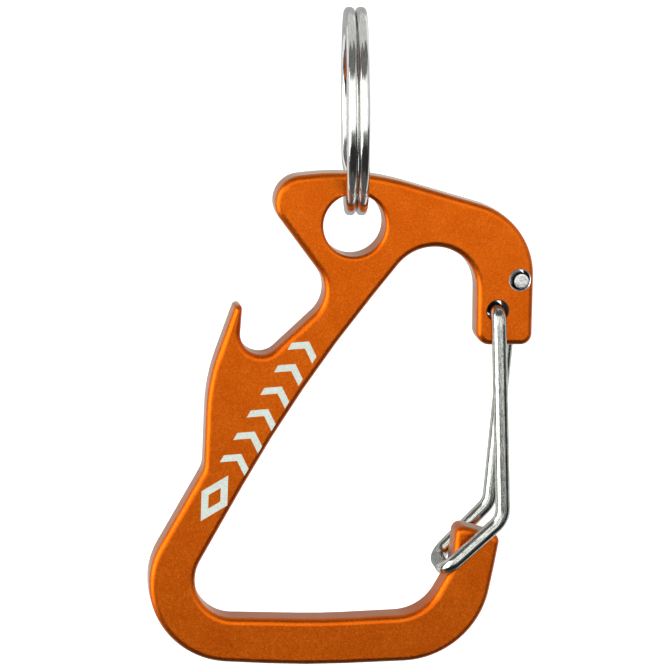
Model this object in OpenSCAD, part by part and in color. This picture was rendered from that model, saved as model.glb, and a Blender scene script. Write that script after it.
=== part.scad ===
// Carabiner keyring: a flat aluminium carabiner with a bottle opener in its
// spine, a sprung wire gate, and a two-turn split ring that it hangs from.
// The front face looks along -Y. The origin is the inner top of the split ring,
// where a hook, a finger or a thread carries the part.

/* [Plate] */
// Thickness of the plate
plate_t = 5; // [4:0.1:6]
// Radius of the rounding all round both faces
edge_r = 1.05; // [0.5:0.05:1.2]
// Diameter of the hole that the split ring runs through
ring_hole_d = 9.9; // [9.6:0.1:10.4]
// Radius of the rounding at both rims of that hole
ring_hole_rim = 0.7; // [0.3:0.1:1]
// Diameter of the two holes that hold the ends of the gate wire
wire_hole_d = 3.3; // [3.1:0.1:3.6]

/* [Gate] */
// Diameter of the gate wire
wire_d = 2.4; // [2:0.1:2.5]
// Gap between each leg of the gate and the face of the plate
leg_gap = 0.3; // [0.2:0.05:0.6]
// Bend radius of the wire where it turns into the holes
tail_bend_r = 1.8; // [1.5:0.1:1.8]
// Bend radius of the wire at its knees
knee_bend_r = 3.7; // [2:0.1:5]
// Bend radius of the wire where it loops round the hook
loop_bend_r = 2.2; // [1.5:0.1:2.8]

/* [Split ring] */
// Outside diameter of the split ring
ring_d = 32.5; // [32:0.1:33]
// Width of the ring's wire, measured towards the middle of the ring
ring_wire_w = 2.7; // [2.4:0.1:2.8]
// Thickness of one turn, measured along the ring's axis
ring_turn_t = 1.7; // [1.4:0.1:1.7]
// Gap between the two turns
ring_turn_gap = 0.1; // [0.05:0.05:0.3]
// How far the ring is turned about the vertical from square to the plate
ring_yaw = 7.5; // [0:0.5:10]

/* [Printed mark] */
// Thickness of the printed layer
mark_t = 0.05; // [0.03:0.01:0.1]
// Width of one chevron, measured across the spine
chevron_w = 4.6; // [3:0.1:5]
// Width of a chevron's stroke
chevron_stroke = 1.3; // [0.8:0.1:1.6]
// Distance from one chevron to the next
mark_pitch = 4.2; // [3.5:0.1:4.4]

/* [Hidden] */

// Degrees between points on a corner of the outline
arc_step = 8;
// The edges' rounding takes at most this share of an outer corner's radius
sharp_share = 0.85;
// The rounding may move an inner corner by this much, which is more than it ever does
free_inset = 2 * edge_r;
// Steps in the rounding of the outline's edges, and of the ring hole's rims
round_steps = 3;
rim_steps = 2;
// Share of an edge's last slope that runs on past the face, before the slab is cut flat
slope_over = 0.5;
// Half the side of the block that cuts the slab flat, more than the plate's own reach
block_reach = 100;
// Sides of the swept gate wire
wire_sides = 16;
// Degrees between sections in a bend of the wire
bend_step = 11;
// Degrees between sections of the split ring
ring_step = 6;
// What cuts reach past the faces they pass through, straight and flared
over = 1;
rim_over = 0.3;

// The outline of the plate, clockwise as the front shows it, measured from the
// middle of the ring hole: [x, z, corner radius]
OUTLINE = [
    [-16.2, 7.5, 4.3],    // top left corner
    [0.9, 8.9, 40],       // crown above the ring hole
    [29.1, 0, 12.3],      // right shoulder
    [28.9, -20.3, 1.8],   // nose, right corner
    [19.8, -20, 2.2],     // nose, left corner
    [19.8, -4.2, 7],      // clip opening, top right
    [9.4, -3.7, 7.4],     // clip opening, top left
    [-8.8, -25.8, 220],   // spine, inner edge
    [-30.2, -63, 6.6],    // clip opening, bottom left
    [-5, -64.8, 110],     // clip opening, bottom edge
    [11.6, -64.8, 7.6],   // clip opening, bottom right
    [16.1, -57, 4],       // neck of the hook
    [16.8, -49.7, 1.4],   // hook, left corner
    [24.2, -52.1, 1.3],   // hook, right corner
    [23.2, -57.5, 40],    // hook, outer edge
    [20.1, -72.8, 14.3],  // bottom right corner
    [-7.9, -72.5, 140],   // bottom edge
    [-33.3, -69.9, 13.7], // bottom left corner
    [-33.2, -54, 11.9],   // foot of the spine
    [-24.2, -38.6, 4.5],  // waist of the spine
    [-23.5, -24.3, 30],   // back of the opener
    [-19, -12.3, 0.7],    // tip of the opener, outside
    [-17.8, -12.2, 0.55], // tip of the opener, inside
    [-18.9, -25.2, 3.4],  // throat of the opener
    [-3, -10.9, 5.2],     // knee that bears on the cap
];

ring_r = ring_d / 2;
ring_inner_r = ring_r - ring_wire_w;
// Height of the middle of the split ring above the middle of the ring hole
ring_rise = 17.75;
// How far the split ring sits to the right of the middle of the ring hole
ring_offset = 0.4;
// Where the middle of the ring hole lies in the part's frame
plate_origin = [-ring_offset, 0, -ring_inner_r - ring_rise];

wire_r = wire_d / 2;
leg_y = plate_t / 2 + leg_gap + wire_r;
// Middles of the holes for the gate's lower and upper ends, [x, z]
lower_hole = [23.1, -14.4];
upper_hole = [26.7, -9.5];
// Corners of the gate wire's middle line, [x, z]
lower_tail = [22.95, -14.4];
front_knee = [24.1, -48.5];
loop_corner = [14.65, -56.75];
rear_knee = [23.6, -47.9];
upper_tail = [26.95, -9.75];
// Share of the rear leg, from its knee up, that turns with the gate
rigid_share = 0.5;
leg_split = rear_knee + rigid_share * (upper_tail - rear_knee);
// Free ends of the wire, inside the plate
lower_tail_y = 1.9;
upper_tail_y = -2.3;
// The end cylinders are this much fatter than the swept wire that starts in them
tail_skin = 0.01;
// Length that a swept wire starts inside its end cylinder
tail_lap = 0.3;

// Where the ramp from one turn to the other starts and ends, from the ring's top
ramp_start = 125;
ramp_end = 165;
ramp_steps = 8;
// Rounding of the ring wire's edges
ring_corner_r = 0.6;

function unit(v) = v / norm(v);
function left_of(v) = [-v[1], v[0]];
function turned(v, a) = [v[0] * cos(a) - v[1] * sin(a), v[0] * sin(a) + v[1] * cos(a)];
function at_leg(p, y) = [p[0], y, p[1]];

// One rounded corner of an outline: a list of [point, outward normal, inset limit]
function corner_arc(a, p, b, r) =
    let (
        u = unit(p - a),
        w = unit(b - p),
        turn = atan2(u[0] * w[1] - u[1] * w[0], u * w),
        side = sign(turn),
        start = p - u * r * tan(abs(turn) / 2),
        centre = start + side * r * left_of(u),
        steps = max(1, ceil(abs(turn) / arc_step))
    )
    [for (i = [0:steps])
        let (d = turned(u, turn * i / steps))
        [centre - side * r * left_of(d), left_of(d), side < 0 ? sharp_share * r : free_inset]];

function rounded(corners) =
    [for (k = [0:len(corners) - 1])
        let (
            a = corners[(k + len(corners) - 1) % len(corners)],
            p = corners[k],
            b = corners[(k + 1) % len(corners)]
        )
        each corner_arc([a[0], a[1]], [p[0], p[1]], [b[0], b[1]], p[2])];

// Side faces between stacked loops of n points, and the two end caps
function loop_faces(loops, n) = concat(
    [[for (i = [0:n - 1]) i]],
    [[for (i = [n - 1:-1:0]) (loops - 1) * n + i]],
    [for (j = [0:loops - 2], i = [0:n - 1])
        let (a = j * n + i, b = j * n + (i + 1) % n)
        each [[a, a + n, b + n], [a, b + n, b]]]
);

// A slab with the given outline and rounded edges, its front face towards -Y. The
// rounding's last slopes run on past both faces, and a block cuts them off flat.
module rounded_slab(corners, t, r) {
    outline = rounded(corners);
    first = 90 / round_steps;
    // [inset, y] of each loop, front to back
    front = concat(
        [[r * (1 + slope_over * sin(first)), -t / 2 - slope_over * r * (1 - cos(first))]],
        [for (i = [1:round_steps])
            let (a = first * i)
            [r * (1 - sin(a)), -t / 2 + r * (1 - cos(a))]]
    );
    steps = concat(front, [for (i = [round_steps:-1:0]) [front[i][0], -front[i][1]]]);
    points = [for (s = steps, o = outline)
        let (p = o[0] - min(s[0], o[2]) * o[1])
        [p[0], s[1], p[1]]];
    intersection() {
        polyhedron(points, loop_faces(len(steps), len(outline)), convexity = 8);
        translate([-block_reach, -t / 2, -block_reach]) cube([2 * block_reach, t, 2 * block_reach]);
    }
}

// A hole along Y with both rims rounded. Each rim's outermost slope runs on past
// the face, so that no corner of the cut lies in the face itself.
module rimmed_hole(d, t, rim) {
    first = 90 / rim_steps;
    slope = sin(first) / (1 - cos(first));
    flare = [d / 2 + rim + rim_over * slope, t / 2 + rim_over];
    rounding = [for (i = [1:rim_steps])
        let (a = first * i)
        [d / 2 + rim * (1 - sin(a)), t / 2 - rim * (1 - cos(a))]];
    profile = concat(
        [[0, -flare[1]], [flare[0], -flare[1]]],
        [for (p = rounding) [p[0], -p[1]]],
        [for (i = [rim_steps - 1:-1:0]) rounding[i]],
        [flare, [0, flare[1]]]
    );
    rotate([90, 0, 0]) rotate_extrude($fn = 96) polygon(profile);
}

// A cylinder along Y from y0 to y1 at [x, z]
module bar_y(p, r, y0, y1) {
    translate([p[0], y0, p[1]]) rotate([-90, 0, 0]) cylinder(r = r, h = y1 - y0, $fn = 64);
}

module plate() {
    color("darkorange") translate(plate_origin) difference() {
        rounded_slab(OUTLINE, plate_t, edge_r);
        rimmed_hole(ring_hole_d, plate_t, ring_hole_rim);
        for (hole = [lower_hole, upper_hole])
            bar_y(hole, wire_hole_d / 2, -plate_t / 2 - over, plate_t / 2 + over);
    }
}

// Middle line of a bent wire, as [point, direction], from corners [x, y, z, bend radius]
function bend(a, p, b, r) =
    let (
        u = unit(p - a),
        w = unit(b - p),
        turn = acos(u * w),
        start = p - u * r * tan(turn / 2),
        inward = unit(w - (w * u) * u),
        steps = max(1, ceil(turn / bend_step))
    )
    [for (i = [0:steps])
        let (f = turn * i / steps)
        [start + r * sin(f) * u + r * (1 - cos(f)) * inward, cos(f) * u + sin(f) * inward]];

function head(c) = [c[0], c[1], c[2]];

function wire_line(c) =
    let (last = len(c) - 1)
    concat(
        [[head(c[0]), unit(head(c[1]) - head(c[0]))]],
        [for (k = [1:last - 1]) each bend(head(c[k - 1]), head(c[k]), head(c[k + 1]), c[k][3])],
        [[head(c[last]), unit(head(c[last]) - head(c[last - 1]))]]
    );

// Normals along the line, each carried on from the one before it
function carried(line, i, n) =
    i == len(line) ? [] :
    let (m = unit(n - (n * line[i][1]) * line[i][1]))
    concat([m], carried(line, i + 1, m));

module swept_wire(corners, r) {
    line = wire_line(corners);
    normals = carried(line, 0, [1, 0, 0.3]);
    points = [for (i = [0:len(line) - 1], k = [0:wire_sides - 1])
        let (a = 360 * k / wire_sides)
        line[i][0] + r * (cos(a) * normals[i] + sin(a) * cross(line[i][1], normals[i]))];
    polyhedron(points, loop_faces(len(line), wire_sides), convexity = 6);
}

// The part of the gate that turns as one: lower tail, front leg, loop and lower rear leg
module gate_wire() {
    color("silver") translate(plate_origin) {
        tail_front = -leg_y + tail_bend_r;
        bar_y(lower_tail, wire_r + tail_skin, tail_front, lower_tail_y);
        swept_wire([
            concat(at_leg(lower_tail, tail_front + tail_lap), 0),
            concat(at_leg(lower_tail, -leg_y), tail_bend_r),
            concat(at_leg(front_knee, -leg_y), knee_bend_r),
            concat(at_leg(loop_corner, -leg_y), loop_bend_r),
            concat(at_leg(loop_corner, leg_y), loop_bend_r),
            concat(at_leg(rear_knee, leg_y), knee_bend_r),
            concat(at_leg(leg_split, leg_y), 0),
        ], wire_r);
    }
}

// The upper rear leg, which twists and bends to close the gate, and its tail
module gate_spring_leg() {
    color("silver") translate(plate_origin) {
        tail_rear = leg_y - tail_bend_r;
        bar_y(upper_tail, wire_r + tail_skin, upper_tail_y, tail_rear);
        swept_wire([
            concat(at_leg(leg_split, leg_y), 0),
            concat(at_leg(upper_tail, leg_y), tail_bend_r),
            concat(at_leg(upper_tail, tail_rear - tail_lap), 0),
        ], wire_r);
    }
}

// Two turns of flattened wire side by side, joined by one ramp
module split_ring() {
    side = (ring_turn_t + ring_turn_gap) / 2;
    half_w = ring_wire_w / 2;
    half_t = ring_turn_t / 2;
    // Clockwise, so that the faces of the sweep look outwards
    section = [for (q = [3:-1:0], i = [2:-1:0])
        let (
            cx = (q == 0 || q == 3 ? 1 : -1) * (half_t - ring_corner_r),
            cr = (q < 2 ? 1 : -1) * (half_w - ring_corner_r),
            a = 90 * q + 45 * i
        )
        [cx + ring_corner_r * cos(a), cr + ring_corner_r * sin(a)]];
    // Angle from the ring's top, and place along the axis, of each section
    turn_angles = [for (a = [ramp_end:ring_step:360 + ramp_start]) a];
    ramp_angles = [for (i = [1:ramp_steps - 1])
        let (f = i / ramp_steps)
        [360 + ramp_start + f * (ramp_end - ramp_start), -side * cos(180 * f)]];
    line = concat(
        [for (a = turn_angles) [a, -side]],
        [[360 + ramp_start, -side]],
        ramp_angles,
        [for (a = turn_angles) [a + 360, side]],
        [[720 + ramp_start, side]]
    );
    points = [for (s = line, p = section)
        [s[1] + p[0], (ring_r - half_w + p[1]) * sin(s[0]), (ring_r - half_w + p[1]) * cos(s[0])]];
    color("gainsboro") translate([0, 0, -ring_inner_r]) rotate([0, 0, -ring_yaw])
        polyhedron(points, loop_faces(len(line), len(section)), convexity = 6);
}

// A plain row of chevrons above a lozenge, printed on the front of the spine
module printed_mark() {
    mark_top = [-8.1, -19.5];
    mark_lean = 31.4;
    chevrons = 6;
    lozenge = [4.8, 8.6];
    lozenge_drop = 6.65 * mark_pitch;
    color("honeydew") translate(plate_origin) translate([0, -plate_t / 2, 0]) rotate([90, 0, 0])
        linear_extrude(mark_t) translate(mark_top) rotate(-mark_lean) {
            for (i = [0:chevrons - 1])
                translate([0, -i * mark_pitch]) chevron(chevron_w, chevron_stroke);
            translate([0, -lozenge_drop]) lozenge_frame(lozenge, chevron_stroke);
        }
}

// A chevron that points up, with its middle at the origin
module chevron(w, stroke) {
    rise = w / 3;
    low = -(rise + stroke) / 2;
    polygon([
        [-w / 2, low], [0, low + rise], [w / 2, low],
        [w / 2, low + stroke], [0, low + rise + stroke], [-w / 2, low + stroke],
    ]);
}

// A lozenge with a smaller one cut out of its middle
module lozenge_frame(size, stroke) {
    share = 1 - 2 * stroke / size[0];
    difference() {
        lozenge(size);
        lozenge(share * size);
    }
}

module lozenge(size) {
    polygon([[0, size[1] / 2], [size[0] / 2, 0], [0, -size[1] / 2], [-size[0] / 2, 0]]);
}

plate();
gate_wire();
gate_spring_leg();
split_ring();
printed_mark();
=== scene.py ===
"""Carabiner keyring: fine meshes, materials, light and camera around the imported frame.

Design sizes are in millimetres and angles in degrees. Outline and wire corners are measured
from the middle of the ring hole, and every mesh is made in metres in the part's frame.
"""
import math

import bmesh
import bpy
import numpy as np
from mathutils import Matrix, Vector


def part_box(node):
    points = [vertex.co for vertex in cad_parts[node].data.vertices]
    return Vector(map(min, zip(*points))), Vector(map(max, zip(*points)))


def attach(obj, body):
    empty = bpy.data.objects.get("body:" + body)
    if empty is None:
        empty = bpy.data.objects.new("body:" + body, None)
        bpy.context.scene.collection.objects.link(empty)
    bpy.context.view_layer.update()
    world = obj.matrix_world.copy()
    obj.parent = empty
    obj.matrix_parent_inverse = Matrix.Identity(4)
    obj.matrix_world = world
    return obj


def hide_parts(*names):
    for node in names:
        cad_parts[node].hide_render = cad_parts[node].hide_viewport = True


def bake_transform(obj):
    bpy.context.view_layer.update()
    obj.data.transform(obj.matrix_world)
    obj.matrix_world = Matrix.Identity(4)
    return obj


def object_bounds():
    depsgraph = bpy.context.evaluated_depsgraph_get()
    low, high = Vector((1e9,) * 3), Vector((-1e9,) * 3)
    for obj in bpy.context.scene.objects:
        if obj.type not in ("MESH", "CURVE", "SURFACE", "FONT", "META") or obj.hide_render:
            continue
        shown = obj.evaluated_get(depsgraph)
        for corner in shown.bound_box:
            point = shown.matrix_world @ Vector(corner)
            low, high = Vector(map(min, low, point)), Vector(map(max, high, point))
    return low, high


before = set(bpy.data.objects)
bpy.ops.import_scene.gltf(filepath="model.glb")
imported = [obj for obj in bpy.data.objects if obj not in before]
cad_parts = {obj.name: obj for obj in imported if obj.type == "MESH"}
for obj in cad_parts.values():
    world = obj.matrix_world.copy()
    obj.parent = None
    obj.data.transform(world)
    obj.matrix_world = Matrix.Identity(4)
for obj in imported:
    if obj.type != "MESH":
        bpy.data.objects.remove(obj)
cad_low, cad_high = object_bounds()

MM = 0.001
HOLE = Vector((-0.4, 0, -31.3))  # middle of the ring hole

# ---------------------------------------------------------------- sizes
plate_low, plate_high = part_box("plate")
PLATE_T = (plate_high.y - plate_low.y) / MM
EDGE_R = 1.05
SHARP_SHARE = 0.85  # the edges' rounding takes at most this share of an outer corner's radius
RING_HOLE_D = 9.9
RING_HOLE_RIM = 0.7
WIRE_HOLE_D = 3.3
WIRE_HOLE_CHAMFER = 0.2
LOWER_HOLE = (23.1, -14.4)
UPPER_HOLE = (26.7, -9.5)
CUTTER_OVER = 0.3  # how far the hole cutters stand out of both faces

# The plate's outline, clockwise as the front shows it: (x, z, corner radius)
OUTLINE = [
    (-16.2, 7.5, 4.3),  # top left corner
    (0.9, 8.9, 40),  # crown above the ring hole
    (29.1, 0, 12.3),  # right shoulder
    (28.9, -20.3, 1.8),  # nose, right corner
    (19.8, -20, 2.2),  # nose, left corner
    (19.8, -4.2, 7),  # clip opening, top right
    (9.4, -3.7, 7.4),  # clip opening, top left
    (-8.8, -25.8, 220),  # spine, inner edge
    (-30.2, -63, 6.6),  # clip opening, bottom left
    (-5, -64.8, 110),  # clip opening, bottom edge
    (11.6, -64.8, 7.6),  # clip opening, bottom right
    (16.1, -57, 4),  # neck of the hook
    (16.8, -49.7, 1.4),  # hook, left corner
    (24.2, -52.1, 1.3),  # hook, right corner
    (23.2, -57.5, 40),  # hook, outer edge
    (20.1, -72.8, 14.3),  # bottom right corner
    (-7.9, -72.5, 140),  # bottom edge
    (-33.3, -69.9, 13.7),  # bottom left corner
    (-33.2, -54, 11.9),  # foot of the spine
    (-24.2, -38.6, 4.5),  # waist of the spine
    (-23.5, -24.3, 30),  # back of the opener
    (-19, -12.3, 0.7),  # tip of the opener, outside
    (-17.8, -12.2, 0.55),  # tip of the opener, inside
    (-18.9, -25.2, 3.4),  # throat of the opener
    (-3, -10.9, 5.2),  # knee that bears on the cap
]

WIRE_D = 2.4
LEG_Y = 4.0  # from the middle of the plate to the middle of each leg
TAIL_BEND_R = 1.8
KNEE_BEND_R = 3.7
LOOP_BEND_R = 2.2
LOWER_TAIL = (22.95, -14.4)
FRONT_KNEE = (24.1, -48.5)
LOOP_CORNER = (14.65, -56.75)
REAR_KNEE = (23.6, -47.9)
UPPER_TAIL = (26.95, -9.75)
RIGID_SHARE = 0.5  # share of the rear leg, from its knee up, that turns with the gate
LOWER_TAIL_Y = 1.9
UPPER_TAIL_Y = -2.3
BURR = ((0.97, 0.06), (0.85, 0.1), (0.55, 0.12), (0.25, 0.1))  # (share of the radius, height)
BURR_RIPPLE = 0.018

RING_D = 32.5
RING_WIRE_W = 2.7
RING_TURN_T = 1.7
RING_TURN_GAP = 0.1
RING_CORNER_R = 0.75
RING_YAW = -7.5
RAMP_START, RAMP_END = 125, 165  # from the top of the ring, towards the back
RING_END_BEVEL = ((-0.7, 0.5), (-0.5, 0.82), (-0.2, 0.96))  # (degrees past the end, share)

# ---------------------------------------------------------------- fineness of the meshes
OUTLINE_STEP = 3  # degrees
BEND_STEP = 6  # degrees
RING_STEP = 2  # degrees
EDGE_STEPS = 8  # slopes in a rounded edge
SECTION_STEPS = 6  # slopes in each corner of the ring's flattened wire
WIRE_SIDES = 40
WIRE_SPACING = 1.2  # longest straight stretch between two sections of the wire
RING_HOLE_SIDES = 128
WIRE_HOLE_SIDES = 64
SHARP_LOOP_EDGE = 40  # degrees
SHARP_PLATE_EDGE = 33  # degrees
FACE_WEIGHT = 50  # Blender's middle setting for weighted normals
UPRIGHT_LIMIT = 0.1  # a cutter's faces with a flatter normal than this are its walls

# Material slots of the plate; the last one holds the painted shade of the wire holes
ORANGE_SLOT, BARE_SLOT, BORE_SHADE_SLOT = range(3)

# ---------------------------------------------------------------- studio
CAMERA_PLACE = (-67.8, -401.3, 72.9)  # from the middle of the ring hole
CAMERA_AZIMUTH, CAMERA_ELEVATION = -9.2, 12.6
CAMERA_LENS, CAMERA_SENSOR = 140.6, 36
CAMERA_CLIP = (0.01, 100)  # metres

# Soft-edged panels round the object, each laid over the ones before it. Azimuth 0 is in front
# of the object and 90 to its right: (azimuths, elevations, brightness, softness).
BACKDROP = 1.0
PANELS = (
    ((150, 200), (-70, 40), 0.45, 10),  # dimmer middle of the backdrop, right half
    ((-200, -150), (-70, 40), 0.45, 10),  # and left half
    ((-200, 200), (34, 95), 0.65, 8),  # top of the backdrop and ceiling
    ((-100, 96), (-95, 80), 0.17, 6),  # the dark room in front
    ((-92, -42), (-30, 32), 3.6, 6),  # left soft box
    ((-42, 42), (-14, 43), 1.48, 7),  # light bank above and behind the camera
    ((42, 84), (-60, 40), 0.8, 6),  # pale wall at the right
    ((46, 84), (-60, -8), 0.04, 6),  # black flag below it
    ((-108, -94), (-60, 50), 0.06, 3),  # black flag at the left
    ((-70, 70), (-64, -27), 0.03, 6),  # table edge below the camera
    ((-200, 200), (-95, -62), 0.1, 6),  # dark ground
)

# Area lights, in metres from the middle of the part: (name, place, watts)
LIGHT_SIZE = 0.5
LIGHTS = (("key", (-0.5, -0.6, 0.5), 2.4), ("fill", (0.6, -0.4, 0.3), 1))

FLOOR_DROP = 0.12  # metres from the lowest point of the part
FLOOR_HALF = 8  # metres
FLOOR_GLOW = 0.62


# ---------------------------------------------------------------- plane and wire geometry
def unit(v):
    return v / np.linalg.norm(v)


def left_of(v):
    return np.array([-v[1], v[0]])


def turned(v, a):
    c, s = math.cos(a), math.sin(a)
    return np.array([v[0] * c - v[1] * s, v[0] * s + v[1] * c])


def corner_arc(a, p, b, r):
    """One rounded corner of an outline, as (point, outward normal, inset limit)."""
    u, w = unit(p - a), unit(b - p)
    turn = math.atan2(u[0] * w[1] - u[1] * w[0], u @ w)
    side = math.copysign(1, turn)
    centre = p - u * r * math.tan(abs(turn) / 2) + side * r * left_of(u)
    steps = max(2, math.ceil(math.degrees(abs(turn)) / OUTLINE_STEP))
    limit = SHARP_SHARE * r if side < 0 else EDGE_R
    for i in range(steps + 1):
        d = turned(u, turn * i / steps)
        yield centre - side * r * left_of(d), left_of(d), limit


def rounded_outline(corners):
    points = [np.array(c[:2], float) for c in corners]
    count = len(corners)
    for k, corner in enumerate(corners):
        yield from corner_arc(points[k - 1], points[k], points[(k + 1) % count], corner[2])


def bent_line(corners):
    """Middle line of a bent wire as (point, direction), from corners (x, y, z, bend radius)."""
    c = [np.array(k[:3], float) for k in corners]
    line = [(c[0], unit(c[1] - c[0]))]
    for k in range(1, len(c) - 1):
        u, w = unit(c[k] - c[k - 1]), unit(c[k + 1] - c[k])
        turn = math.acos(np.clip(u @ w, -1, 1))
        r = corners[k][3]
        start = c[k] - u * r * math.tan(turn / 2)
        inward = unit(w - (w @ u) * u)
        steps = max(1, math.ceil(math.degrees(turn) / BEND_STEP))
        for i in range(steps + 1):
            f = turn * i / steps
            point = start + r * math.sin(f) * u + r * (1 - math.cos(f)) * inward
            line.append((point, math.cos(f) * u + math.sin(f) * inward))
    line.append((c[-1], unit(c[-1] - c[-2])))
    return line


def filled_in(line):
    """The line with extra points along its straight stretches."""
    out = [line[0]]
    for (p, d), (q, e) in zip(line, line[1:]):
        extra = int(np.linalg.norm(q - p) / WIRE_SPACING)
        if np.allclose(d, e, atol=1e-6):
            out += [(p + (q - p) * i / (extra + 1), d) for i in range(1, extra + 1)]
        out.append((q, e))
    return out


def along_line(line):
    """Distance along the line at each of its points."""
    steps = [0.0] + [float(np.linalg.norm(q[0] - p[0])) for p, q in zip(line, line[1:])]
    return np.cumsum(steps)


# ---------------------------------------------------------------- meshes
def loops_mesh(name, loops, materials=()):
    """A mesh of quads between loops with the same number of points, capped at both ends."""
    count = len(loops[0])
    points = [p for loop in loops for p in loop]
    faces = []
    for j in range(len(loops) - 1):
        for i in range(count):
            a, b = j * count + i, j * count + (i + 1) % count
            faces.append((a, a + count, b + count, b))
    faces.append(tuple(range(count)))
    faces.append(tuple(range(len(points) - 1, len(points) - 1 - count, -1)))
    mesh = bpy.data.meshes.new(name)
    mesh.from_pydata([Vector(p) * MM for p in points], [], faces)
    solid = bmesh.new()
    solid.from_mesh(mesh)
    bmesh.ops.recalc_face_normals(solid, faces=solid.faces)
    solid.to_mesh(mesh)
    solid.free()
    mesh.shade_smooth()
    mesh.set_sharp_from_angle(angle=math.radians(SHARP_LOOP_EDGE))
    for material in materials:
        mesh.materials.append(material)
    return mesh


def new_object(name, mesh):
    obj = bpy.data.objects.new(name, mesh)
    bpy.context.scene.collection.objects.link(obj)
    return obj


def evaluated_mesh(obj):
    graph = bpy.context.evaluated_depsgraph_get()
    return bpy.data.meshes.new_from_object(obj.evaluated_get(graph), depsgraph=graph)


def lathe_along_y(name, centre, profile, sides, wall_slot, rim_slot):
    """A cutter turned about a line along Y: profile is a list of (radius, y)."""
    angles = [2 * math.pi * i / sides for i in range(sides)]
    x, z = HOLE.x + centre[0], HOLE.z + centre[1]
    loops = [
        [(x + r * math.cos(a), HOLE.y + y, z + r * math.sin(a)) for a in angles]
        for r, y in profile
    ]
    mesh = loops_mesh(name, loops)
    for polygon in mesh.polygons:
        is_wall = abs(polygon.normal.y) < UPRIGHT_LIMIT
        polygon.material_index = wall_slot if is_wall else rim_slot
    return mesh


def wire_coordinates(mesh, values):
    """Stores where each point is in the wire's own section and along it, in millimetres."""
    attribute = mesh.attributes.new("wire_place", "FLOAT_VECTOR", "POINT")
    attribute.data.foreach_set("vector", np.array(values, np.float32).ravel())


# ---------------------------------------------------------------- shader building
class Graph:
    """Adds nodes to a tree, with numbers or sockets as inputs."""

    def __init__(self, tree):
        self.tree = tree
        tree.nodes.clear()

    def node(self, kind, inputs=None, **settings):
        node = self.tree.nodes.new(kind)
        for key, value in settings.items():
            setattr(node, key, value)
        for key, value in (inputs or {}).items():
            self.set(node.inputs[key], value)
        return node

    def set(self, socket, value):
        if isinstance(value, bpy.types.NodeSocket):
            self.tree.links.new(value, socket)
        else:
            socket.default_value = value

    def math(self, operation, a, b=0.0, clamp=False):
        node = self.node("ShaderNodeMath", {0: a, 1: b}, operation=operation, use_clamp=clamp)
        return node.outputs[0]

    def between(self, value, low, high, to_low=0.0, to_high=1.0):
        """Eases from to_low to to_high while the value goes from low to high."""
        node = self.node(
            "ShaderNodeMapRange",
            {
                "Value": value,
                "From Min": low,
                "From Max": high,
                "To Min": to_low,
                "To Max": to_high,
            },
            interpolation_type="SMOOTHSTEP",
        )
        return node.outputs[0]

    def scaled(self, vector, scale):
        node = self.node("ShaderNodeVectorMath", {0: vector, 1: scale}, operation="MULTIPLY")
        return node.outputs[0]

    def object_place(self):
        return self.node("ShaderNodeTexCoord").outputs["Object"]

    def noise(self, vector, scale, detail=2.0, roughness=0.5):
        inputs = {"Vector": vector, "Scale": scale, "Detail": detail, "Roughness": roughness}
        return self.node("ShaderNodeTexNoise", inputs).outputs[0]

    def mix(self, factor, a, b, kind="RGBA"):
        node = self.node("ShaderNodeMix", data_type=kind)
        first = {"FLOAT": 2, "RGBA": 6}[kind]
        self.set(node.inputs[0], factor)
        self.set(node.inputs[first], a)
        self.set(node.inputs[first + 1], b)
        return node.outputs[{"FLOAT": 0, "RGBA": 2}[kind]]

    def bump(self, height, distance, strength):
        """A bump of the given height in millimetres."""
        inputs = {"Height": height, "Distance": distance * MM, "Strength": strength}
        return self.node("ShaderNodeBump", inputs).outputs[0]

    def principled(self, inputs):
        """Ends the material in a Principled shader with these inputs."""
        shader = self.node("ShaderNodeBsdfPrincipled", inputs)
        output = self.node("ShaderNodeOutputMaterial")
        self.set(output.inputs["Surface"], shader.outputs[0])


def new_material(name, preview):
    material = bpy.data.materials.new(name)
    material.use_nodes = True
    material.diffuse_color = (*preview, 1)
    return material, Graph(material.node_tree)


def rgba(r, g, b):
    return (r, g, b, 1.0)


# ---------------------------------------------------------------- materials
# Noise scales are in cycles per metre, except along the wires, where they are per millimetre.
def anodised_orange():
    """Satin anodised aluminium: a blasted grain, faint clouds and a few pits, with painted shade in
    the grain's hollows and painted glints on its crests.
    """
    deep, bright = rgba(0.74, 0.126, 0.0035), rgba(0.79, 0.144, 0.005)
    # the first two colours on the next line are painted shade and painted glints of the grain
    grain_painted_shade, painted_glint, pit = rgba(0.2, 0.018, 0.0005), rgba(1.0, 0.38, 0.08), rgba(0.16, 0.02, 0.001)
    material, g = new_material("anodised_orange", (0.7, 0.13, 0.01))
    place = g.object_place()
    clouds = g.noise(place, 260, 2.0)
    grain = g.noise(place, 4600, 1.0, 0.6)
    pits = g.noise(place, 2300, 0.0)
    tone = g.mix(g.between(clouds, 0.35, 0.65), deep, bright)
    # painted shade: where the grain's bump is low, the colour is darkened towards a deep brown
    tone = g.mix(g.between(grain, 0.3, 0.6, 0.74, 1.0), grain_painted_shade, tone)
    # painted glints: where the grain stands high, the colour is lightened towards a bright orange
    tone = g.mix(g.between(grain, 0.6, 0.76, 0.0, 0.28), tone, painted_glint)
    tone = g.mix(g.between(pits, 0.82, 0.86, 0.0, 0.4), tone, pit)
    g.principled({
        "Base Color": tone,
        "Metallic": 1.0,
        "Roughness": g.between(grain, 0.3, 0.7, 0.34, 0.44),
        "Normal": g.bump(grain, 0.02, 0.6),
        "Specular Tint": rgba(0.6, 0.95, 1.0),
        "Sheen Weight": 0.7,
        "Sheen Roughness": 0.3,
        "Sheen Tint": rgba(0.9, 1.0, 0.86),
    })
    return material


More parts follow.
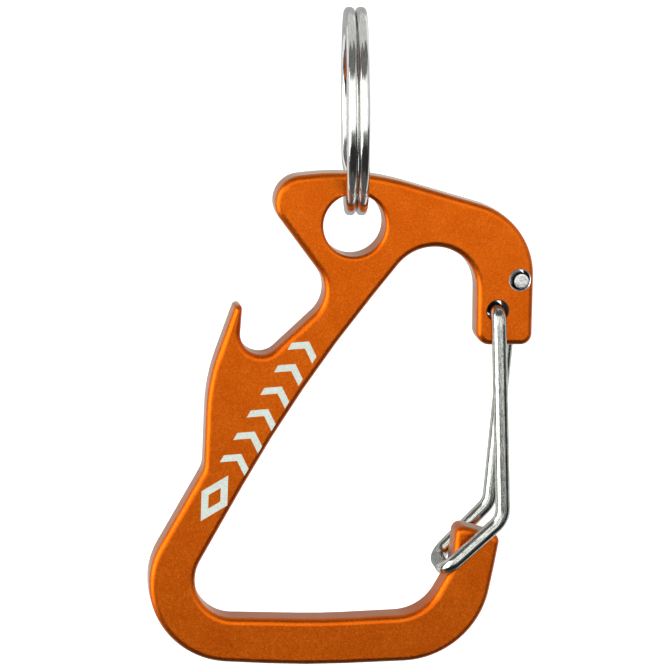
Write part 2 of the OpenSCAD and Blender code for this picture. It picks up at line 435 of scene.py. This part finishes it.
def bare_aluminium():
    """The bright chamfers of the upper wire hole, with turning marks."""
    material, g = new_material("bare_aluminium", (0.75, 0.75, 0.72))
    marks = g.noise(g.scaled(g.object_place(), (1.0, 6.0, 1.0)), 1500, 2.0)
    dull, bright = rgba(0.55, 0.55, 0.52), rgba(0.82, 0.83, 0.79)
    g.principled({
        "Base Color": g.mix(g.between(marks, 0.3, 0.7), dull, bright),
        "Metallic": 1.0,
        "Roughness": g.between(marks, 0.3, 0.7, 0.22, 0.36),
        "Normal": g.bump(marks, 0.02, 0.5),
    })
    return material


def painted_shade_bore():
    """Painted shade for the wire holes: a dull, near-black colour for their walls and the chamfers
    of the lower one, standing in for the shade inside the holes.
    """
    material, g = new_material("painted_shade_bore", (0.05, 0.045, 0.04))
    marks = g.noise(g.scaled(g.object_place(), (1.0, 5.0, 1.0)), 1200, 2.0)
    # painted shade: the deep shade inside the wire holes is given as a near-black base colour
    black, brown = rgba(0.012, 0.011, 0.01), rgba(0.05, 0.042, 0.035)
    g.principled({
        "Base Color": g.mix(g.between(marks, 0.3, 0.7), black, brown),
        "Metallic": 0.0,
        "Roughness": g.between(marks, 0.3, 0.7, 0.5, 0.65),
        "Specular IOR Level": 0.15,
    })
    return material


def drawn_metal(name, dark, light, rough_low, rough_high, bump_strength, speckle):
    """Drawn wire: marks along its length, and a fine speckle between them."""
    material, g = new_material(name, light)
    place = g.node("ShaderNodeAttribute", attribute_name="wire_place").outputs["Vector"]
    streaks = g.noise(g.scaled(place, (6.5, 6.5, 0.7)), 1.0, 3.0, 0.6)
    specks = g.noise(g.scaled(place, (8.0, 8.0, 6.0)), 1.0, 2.0, 0.7)
    scuffs = g.noise(place, 0.45, 2.0)
    marks = g.mix(0.5, streaks, specks, "FLOAT")
    rough = g.between(scuffs, 0.35, 0.7, rough_low, rough_high)
    rough = g.math("ADD", rough, g.between(specks, 0.5, 0.75, 0.0, 0.12), clamp=True)
    height = g.mix(speckle, streaks, specks, "FLOAT")
    g.principled({
        "Base Color": g.mix(g.between(marks, 0.4, 0.59), rgba(*dark), rgba(*light)),
        "Metallic": 1.0,
        "Roughness": rough,
        "Normal": g.bump(height, 0.02, bump_strength),
    })
    return material


def cut_steel():
    """The bright, torn face where the wire was sheared off."""
    material, g = new_material("cut_steel", (0.8, 0.82, 0.8))
    tears = g.noise(g.scaled(g.object_place(), (1.0, 1.0, 2.5)), 2200, 3.0, 0.6)
    torn, clean = rgba(0.5, 0.52, 0.5), rgba(0.92, 0.94, 0.92)
    g.principled({
        "Base Color": g.mix(g.between(tears, 0.3, 0.65), torn, clean),
        "Metallic": 1.0,
        "Roughness": g.between(tears, 0.3, 0.7, 0.3, 0.45),
        "Normal": g.bump(tears, 0.08, 0.8),
    })
    return material


def pale_ink():
    """A thin matt layer of ink, slightly uneven, with the blasted grain showing through."""
    material, g = new_material("pale_ink", (0.66, 0.78, 0.68))
    grain = g.noise(g.object_place(), 3800, 2.0, 0.6)
    thin, full = rgba(0.39, 0.43, 0.38), rgba(0.48, 0.53, 0.47)
    g.principled({
        "Base Color": g.mix(g.between(grain, 0.3, 0.7), thin, full),
        "Roughness": g.between(grain, 0.3, 0.7, 0.45, 0.6),
        "Normal": g.bump(grain, 0.01, 0.5),
    })
    return material


ORANGE = anodised_orange()
BARE = bare_aluminium()
BORE_SHADE = painted_shade_bore()
STEEL = drawn_metal(
    "gate_steel",
    dark=(0.27, 0.285, 0.265),
    light=(0.62, 0.64, 0.59),
    rough_low=0.1,
    rough_high=0.18,
    bump_strength=0.3,
    speckle=0.85,
)
CUT = cut_steel()
NICKEL = drawn_metal(
    "ring_nickel",
    dark=(0.66, 0.67, 0.64),
    light=(0.86, 0.87, 0.84),
    rough_low=0.1,
    rough_high=0.16,
    bump_strength=0.25,
    speckle=0.3,
)
INK = pale_ink()


# ---------------------------------------------------------------- plate
def quarter_angles(first=0):
    """The angles between the slopes of a rounded edge, from 0 to 90 degrees."""
    return [math.pi / 2 * i / EDGE_STEPS for i in range(first, EDGE_STEPS + 1)]


def mirrored(half):
    """A profile, and then the same again on the other side of the plate's middle."""
    return half + [(size, -y) for size, y in reversed(half)]


def slab_loops(corners, t, r):
    """The outline at each level of a plate whose edges are rounded to the radius r."""
    half = [(r * (1 - math.sin(a)), -t / 2 + r * (1 - math.cos(a))) for a in quarter_angles()]
    outline = list(rounded_outline(corners))
    loops = []
    for inset, y in mirrored(half):
        loop = []
        for point, normal, limit in outline:
            p = point - min(inset, limit) * normal
            loop.append((HOLE.x + p[0], HOLE.y + y, HOLE.z + p[1]))
        loops.append(loop)
    return loops


def rim_profile(r, t, rim):
    """Profile of a hole whose rims are rounded, flaring past both faces of a plate."""
    half = [
        (r + rim * (1 - math.sin(a)), t / 2 - rim * (1 - math.cos(a)))
        for a in quarter_angles(first=1)
    ]
    slope = (half[0][0] - r - rim) / (half[0][1] - t / 2)
    half.insert(0, (r + rim + CUTTER_OVER * slope, t / 2 + CUTTER_OVER))
    return mirrored(half)


def chamfer_profile(r, t, chamfer):
    """Profile of a hole with a 45 degree chamfer at both faces of a plate."""
    return mirrored([(r + chamfer + CUTTER_OVER, t / 2 + CUTTER_OVER), (r, t / 2 - chamfer)])


def make_plate():
    slab = new_object("plate_slab", loops_mesh("plate_slab", slab_loops(OUTLINE, PLATE_T, EDGE_R)))
    rounded = rim_profile(RING_HOLE_D / 2, PLATE_T, RING_HOLE_RIM)
    drilled = chamfer_profile(WIRE_HOLE_D / 2, PLATE_T, WIRE_HOLE_CHAMFER)
    cutters = [
        lathe_along_y("ring_hole", (0, 0), rounded, RING_HOLE_SIDES, ORANGE_SLOT, ORANGE_SLOT),
        lathe_along_y("wire_hole", LOWER_HOLE, drilled, WIRE_HOLE_SIDES, BORE_SHADE_SLOT, BORE_SHADE_SLOT),
        lathe_along_y("wire_hole", UPPER_HOLE, drilled, WIRE_HOLE_SIDES, BORE_SHADE_SLOT, BARE_SLOT),
    ]
    for owner in [slab.data, *cutters]:
        for material in (ORANGE, BARE, BORE_SHADE):
            owner.materials.append(material)
    helpers = [new_object(cutter.name, cutter) for cutter in cutters]
    for helper in helpers:
        cut = slab.modifiers.new("cut", "BOOLEAN")
        cut.operation = "DIFFERENCE"
        cut.solver = "EXACT"
        cut.object = helper
    mesh = evaluated_mesh(slab)
    mesh.name = "carabiner_plate"
    for helper in [slab, *helpers]:
        bpy.data.objects.remove(helper)
    mesh.shade_smooth()
    mesh.set_sharp_from_angle(angle=math.radians(SHARP_PLATE_EDGE))
    plate = new_object("carabiner_plate", mesh)
    weighted = plate.modifiers.new("normals", "WEIGHTED_NORMAL")
    weighted.keep_sharp = True
    weighted.weight = FACE_WEIGHT
    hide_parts("plate")
    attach(plate, "carabiner")


# ---------------------------------------------------------------- gate
def wire_sections(line):
    """Round sections along the line, as (middle, direction, loop, places in the wire)."""
    normal = unit(np.cross(line[0][1], (0.3, 0.2, 0.9)))  # any direction across the wire
    angles = [2 * math.pi * i / WIRE_SIDES for i in range(WIRE_SIDES)]
    circle = [(WIRE_D / 2 * math.cos(a), WIRE_D / 2 * math.sin(a)) for a in angles]
    sections = []
    for (p, d), s in zip(line, along_line(line)):
        normal = unit(normal - (normal @ d) * d)
        other = np.cross(d, normal)
        loop = [p + x * normal + y * other for x, y in circle]
        sections.append((p, d, loop, [(x, y, s) for x, y in circle]))
    return sections


def burr_sections(section, outward):
    """Shrinking sections that close a sheared end: a small burr round an uneven face."""
    middle, direction, loop, places = section
    out = []
    for share, lift in BURR:
        ring = []
        for i, p in enumerate(loop):
            a = 2 * math.pi * i / len(loop)
            ripple = math.sin(3 * a + 0.3) + 0.6 * math.sin(7 * a + 0.6)
            rise = lift + BURR_RIPPLE * (1 - share) * ripple
            ring.append(middle + share * (p - middle) + rise * outward)
        out.append((middle, direction, ring, places))
    return out


def wire_piece(name, sections, cut_at_start):
    """A length of the gate wire, sheared off at its start or at its end."""
    end = sections[0] if cut_at_start else sections[-1]
    burr = burr_sections(end, -end[1] if cut_at_start else end[1])
    every = burr[::-1] + sections if cut_at_start else sections + burr
    loops = [[q + np.array(HOLE) for q in section[2]] for section in every]
    mesh = loops_mesh(name, loops, materials=[STEEL, CUT])
    side_faces = (len(every) - 1) * WIRE_SIDES
    burr_faces = len(burr) * WIRE_SIDES
    for k, polygon in enumerate(mesh.polygons):
        if cut_at_start:
            is_cut = k < burr_faces or k == side_faces
        else:
            is_cut = side_faces - burr_faces <= k < side_faces or k == side_faces + 1
        polygon.material_index = 1 if is_cut else 0
    wire_coordinates(mesh, [q for section in every for q in section[3]])
    return new_object(name, mesh)


def make_gate():
    """One wire in two pieces that share the section where the rear leg is split."""
    split = np.array(REAR_KNEE) + RIGID_SHARE * (np.array(UPPER_TAIL) - np.array(REAR_KNEE))
    loop_line = filled_in(bent_line([
        (LOWER_TAIL[0], LOWER_TAIL_Y, LOWER_TAIL[1], 0),
        (LOWER_TAIL[0], -LEG_Y, LOWER_TAIL[1], TAIL_BEND_R),
        (FRONT_KNEE[0], -LEG_Y, FRONT_KNEE[1], KNEE_BEND_R),
        (LOOP_CORNER[0], -LEG_Y, LOOP_CORNER[1], LOOP_BEND_R),
        (LOOP_CORNER[0], LEG_Y, LOOP_CORNER[1], LOOP_BEND_R),
        (REAR_KNEE[0], LEG_Y, REAR_KNEE[1], KNEE_BEND_R),
        (split[0], LEG_Y, split[1], 0),
    ]))
    leg_line = filled_in(bent_line([
        (split[0], LEG_Y, split[1], 0),
        (UPPER_TAIL[0], LEG_Y, UPPER_TAIL[1], TAIL_BEND_R),
        (UPPER_TAIL[0], UPPER_TAIL_Y, UPPER_TAIL[1], 0),
    ]))
    sections = wire_sections(loop_line + leg_line[1:])
    seam = len(loop_line) - 1
    loop = wire_piece("gate_loop", sections[:seam + 1], cut_at_start=True)
    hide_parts("gate_wire")
    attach(loop, "gate")
    leg = wire_piece("gate_upper_leg", sections[seam:], cut_at_start=False)
    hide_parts("gate_spring_leg")
    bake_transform(leg)


# ---------------------------------------------------------------- split ring
def ring_section():
    """The flattened wire's section, as (along the ring's axis, outwards)."""
    half_t, half_w = RING_TURN_T / 2, RING_WIRE_W / 2
    points = []
    for quarter in range(4):
        cx = (1 if quarter in (0, 3) else -1) * (half_t - RING_CORNER_R)
        cr = (1 if quarter < 2 else -1) * (half_w - RING_CORNER_R)
        for i in range(SECTION_STEPS + 1):
            a = math.radians(90 * (quarter + i / SECTION_STEPS))
            points.append((cx + RING_CORNER_R * math.cos(a), cr + RING_CORNER_R * math.sin(a)))
    return points[::-1]


def ring_stations():
    """Where the wire runs, from end to end: (angle, shift along the axis, share of the section)."""
    side = (RING_TURN_T + RING_TURN_GAP) / 2
    last = 720 + RAMP_START
    for lead, share in RING_END_BEVEL:
        yield RAMP_END + lead, -side, share
    for angle in range(RAMP_END, 360 + RAMP_START, RING_STEP):
        yield angle, -side, 1.0
    for i in range(0, RAMP_END - RAMP_START + 1, RING_STEP):
        done = i / (RAMP_END - RAMP_START)
        yield 360 + RAMP_START + i, -side * math.cos(math.pi * done), 1.0
    for angle in range(360 + RAMP_END + RING_STEP, last, RING_STEP):
        yield angle, side, 1.0
    yield last, side, 1.0
    for lead, share in reversed(RING_END_BEVEL):
        yield last - lead, side, share


def make_split_ring():
    middle_r = (RING_D - RING_WIRE_W) / 2
    drop = RING_D / 2 - RING_WIRE_W
    yaw = math.radians(RING_YAW)
    section = ring_section()
    loops, places = [], []
    for angle, shift, share in ring_stations():
        a = math.radians(angle)
        loop = []
        for along, out in section:
            x, r = shift + share * along, middle_r + share * out
            y, z = r * math.sin(a), r * math.cos(a)
            loop.append((
                x * math.cos(yaw) - y * math.sin(yaw),
                x * math.sin(yaw) + y * math.cos(yaw),
                z - drop,
            ))
            places.append((along, out, a * middle_r))
        loops.append(loop)
    mesh = loops_mesh("two_turn_ring", loops, materials=[NICKEL])
    wire_coordinates(mesh, places)
    ring = new_object("two_turn_ring", mesh)
    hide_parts("split_ring")
    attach(ring, "key_ring")


def ink_the_mark():
    """The printed mark keeps its CAD mesh and gets the ink."""
    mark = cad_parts["printed_mark"]
    mark.data.materials.clear()
    mark.data.materials.append(INK)


# ---------------------------------------------------------------- light, floor and camera
def laid_over(g, base, azimuth, elevation, panel):
    """The brightness with one soft-edged panel laid over it."""
    az_range, el_range, level, soft = panel
    inside = 1.0
    for value, (low, high) in ((azimuth, az_range), (elevation, el_range)):
        rise = g.between(value, low - soft / 2, low + soft / 2)
        fall = g.between(value, high - soft / 2, high + soft / 2, 1.0, 0.0)
        inside = g.math("MULTIPLY", g.math("MULTIPLY", rise, fall), inside)
    return g.mix(inside, base, level, "FLOAT")


def studio_world():
    """The panels light the object, and the camera itself sees plain white."""
    world = bpy.data.worlds.new("studio")
    bpy.context.scene.world = world
    world.use_nodes = True
    g = Graph(world.node_tree)
    direction = g.node("ShaderNodeTexCoord").outputs["Generated"]
    parts = g.node("ShaderNodeSeparateXYZ", {0: direction}).outputs
    front = g.math("MULTIPLY", parts[1], -1.0)
    azimuth = g.math("DEGREES", g.math("ARCTAN2", parts[0], front))
    elevation = g.math("DEGREES", g.math("ARCSINE", parts[2]))
    light = BACKDROP
    for panel in PANELS:
        light = laid_over(g, light, azimuth, elevation, panel)
    seen = g.node("ShaderNodeLightPath").outputs["Is Camera Ray"]
    strength = g.mix(seen, light, 1.0, "FLOAT")
    inputs = {"Color": rgba(1, 1, 1), "Strength": strength}
    background = g.node("ShaderNodeBackground", inputs)
    output = g.node("ShaderNodeOutputWorld")
    g.set(output.inputs["Surface"], background.outputs[0])


def area_light(name, place, power):
    target = (cad_low + cad_high) / 2
    data = bpy.data.lights.new(name, "AREA")
    data.shape = "SQUARE"
    data.size = LIGHT_SIZE
    data.energy = power
    light = new_object(name, data)
    light.location = target + Vector(place)
    light.rotation_euler = (target - light.location).to_track_quat("-Z", "Y").to_euler()
    light.visible_camera = False
    light.visible_glossy = False


def pale_floor():
    half, z = FLOOR_HALF, cad_low.z - FLOOR_DROP
    corners = [(-half, -half, z), (half, -half, z), (half, half, z), (-half, half, z)]
    mesh = bpy.data.meshes.new("floor")
    mesh.from_pydata(corners, [], [(0, 1, 2, 3)])
    material, g = new_material("pale_floor", (0.9, 0.9, 0.9))
    g.principled({
        "Base Color": rgba(0.85, 0.85, 0.85),
        "Roughness": 0.9,
        "Emission Color": rgba(1, 1, 1),
        "Emission Strength": FLOOR_GLOW,
    })
    mesh.materials.append(material)
    floor = new_object("floor", mesh)
    floor.visible_glossy = False


def photo_camera():
    """The camera of the reference view: from the left and above, with a long lens."""
    data = bpy.data.cameras.new("camera")
    data.lens = CAMERA_LENS
    data.sensor_width = CAMERA_SENSOR
    data.clip_start, data.clip_end = CAMERA_CLIP
    camera = new_object("camera", data)
    camera.location = (HOLE + Vector(CAMERA_PLACE)) * MM
    tilt, turn = math.radians(90 - CAMERA_ELEVATION), math.radians(CAMERA_AZIMUTH)
    camera.rotation_euler = (tilt, 0, turn)
    bpy.context.scene.camera = camera


make_plate()
make_gate()
make_split_ring()
ink_the_mark()
studio_world()
for name, place, power in LIGHTS:
    area_light(name, place, power)
pale_floor()
photo_camera()
bpy.context.scene.view_settings.view_transform = "Standard"
